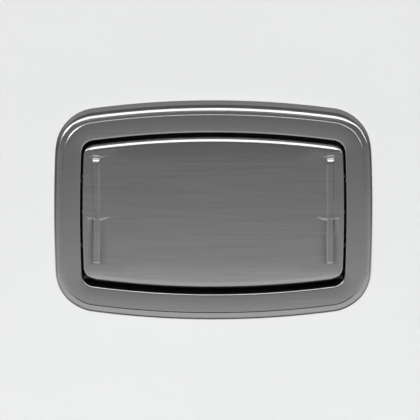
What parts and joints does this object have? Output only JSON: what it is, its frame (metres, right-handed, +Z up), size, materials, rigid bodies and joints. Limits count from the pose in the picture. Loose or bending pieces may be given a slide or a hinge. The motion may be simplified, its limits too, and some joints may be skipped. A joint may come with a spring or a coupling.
{
  "type": "baby changing station",
  "caption": "Wall-mounted horizontal baby changing station: bowed brushed steel surround and a door with pull ribs that folds down as a moulded bed with a safety strap.",
  "frame": {"origin": "centre of the back face, on the wall plane", "axes": "+X to the right as seen from the room, +Y into the wall, +Z up"},
  "size_m": [0.94, 0.1035, 0.645],
  "materials": {
    "brushed_steel": "fine horizontal brushed grain",
    "hardware_steel": "plain zinc-bright steel",
    "black_steel": "black coated steel",
    "moulded_grey": "light grey moulded polyethylene with a fine grain",
    "moulded_dark": "dark grey moulded polyethylene with a fine grain",
    "black_plastic": "black moulded plastic",
    "rubber": "black rubber",
    "webbing": "woven charcoal webbing"
  },
  "bodies": {
    "wall_unit": {"steel_surround": "brushed_steel", "rear_tray": "moulded_dark", "surround_screw_left_1": "hardware_steel", "surround_screw_left_2": "hardware_steel", "surround_screw_right_1": "hardware_steel", "surround_screw_right_2": "hardware_steel", "mounting_rail_upper": "hardware_steel", "mounting_rail_lower": "hardware_steel", "liner_box": "moulded_grey", "liner_cover": "moulded_grey", "bag_hook_left": "black_plastic", "bag_hook_right": "black_plastic", "hook_screw_left_1": "hardware_steel", "hook_screw_left_2": "hardware_steel", "hook_screw_right_1": "hardware_steel", "hook_screw_right_2": "hardware_steel", "bumper_left": "rubber", "bumper_right": "rubber", "hinge_bracket_left": "black_steel", "hinge_bracket_right": "black_steel", "bracket_screw_left_1": "hardware_steel", "bracket_screw_left_2": "hardware_steel", "bracket_screw_right_1": "hardware_steel", "bracket_screw_right_2": "hardware_steel", "hinge_rod": "black_steel", "hinge_stop_pin": "hardware_steel", "rod_clip_left": "black_steel", "rod_clip_right": "black_steel", "spring_collar_left": "hardware_steel", "spring_collar_right": "hardware_steel"},
    "bed": {"door_panel": "brushed_steel", "changing_bed": "moulded_grey", "bed_screw_left_1": "hardware_steel", "bed_screw_left_2": "hardware_steel", "bed_screw_left_3": "hardware_steel", "bed_screw_right_1": "hardware_steel", "bed_screw_right_2": "hardware_steel", "bed_screw_right_3": "hardware_steel", "hinge_leaf": "hardware_steel", "hinge_bush_left": "black_plastic", "hinge_bush_right": "black_plastic", "damper_left": "black_plastic", "damper_right": "black_plastic", "torsion_spring_left": "hardware_steel", "torsion_spring_right": "hardware_steel", "stiffener_left": "hardware_steel", "stiffener_right": "hardware_steel", "strap_rear": "webbing", "strap_front": "webbing", "strap_anchor_rear": "hardware_steel", "strap_anchor_front": "hardware_steel", "anchor_screw_rear_1": "hardware_steel", "anchor_screw_rear_2": "hardware_steel", "anchor_screw_front_1": "hardware_steel", "anchor_screw_front_2": "hardware_steel", "buckle_frame": "hardware_steel", "buckle_pin": "hardware_steel"},
    "buckle_lever": {"buckle_lever": "black_plastic"},
    "liner_lock": {"liner_lock": "hardware_steel"}
  },
  "joints": [
    {"name": "bed_hinge", "type": "hinge", "parent": "wall_unit", "child": "bed", "pos_m": [0, -0.087, -0.1933], "axis": [1, 0, 0], "range_deg": [0, 90], "stiffness_Nm_per_rad": 5, "springref_deg": -45.84},
    {"name": "buckle_lever_hinge", "type": "hinge", "parent": "bed", "child": "buckle_lever", "pos_m": [0, -0.0611, 0.0062], "axis": [1, 0, 0], "range_deg": [0, 75], "stiffness_Nm_per_rad": 0.05, "springref_deg": -28.65},
    {"name": "liner_lock_turn", "type": "hinge", "parent": "wall_unit", "child": "liner_lock", "pos_m": [0, -0.0266, 0.086], "axis": [0, 1, 0], "range_deg": [0, 90]}
  ]
}
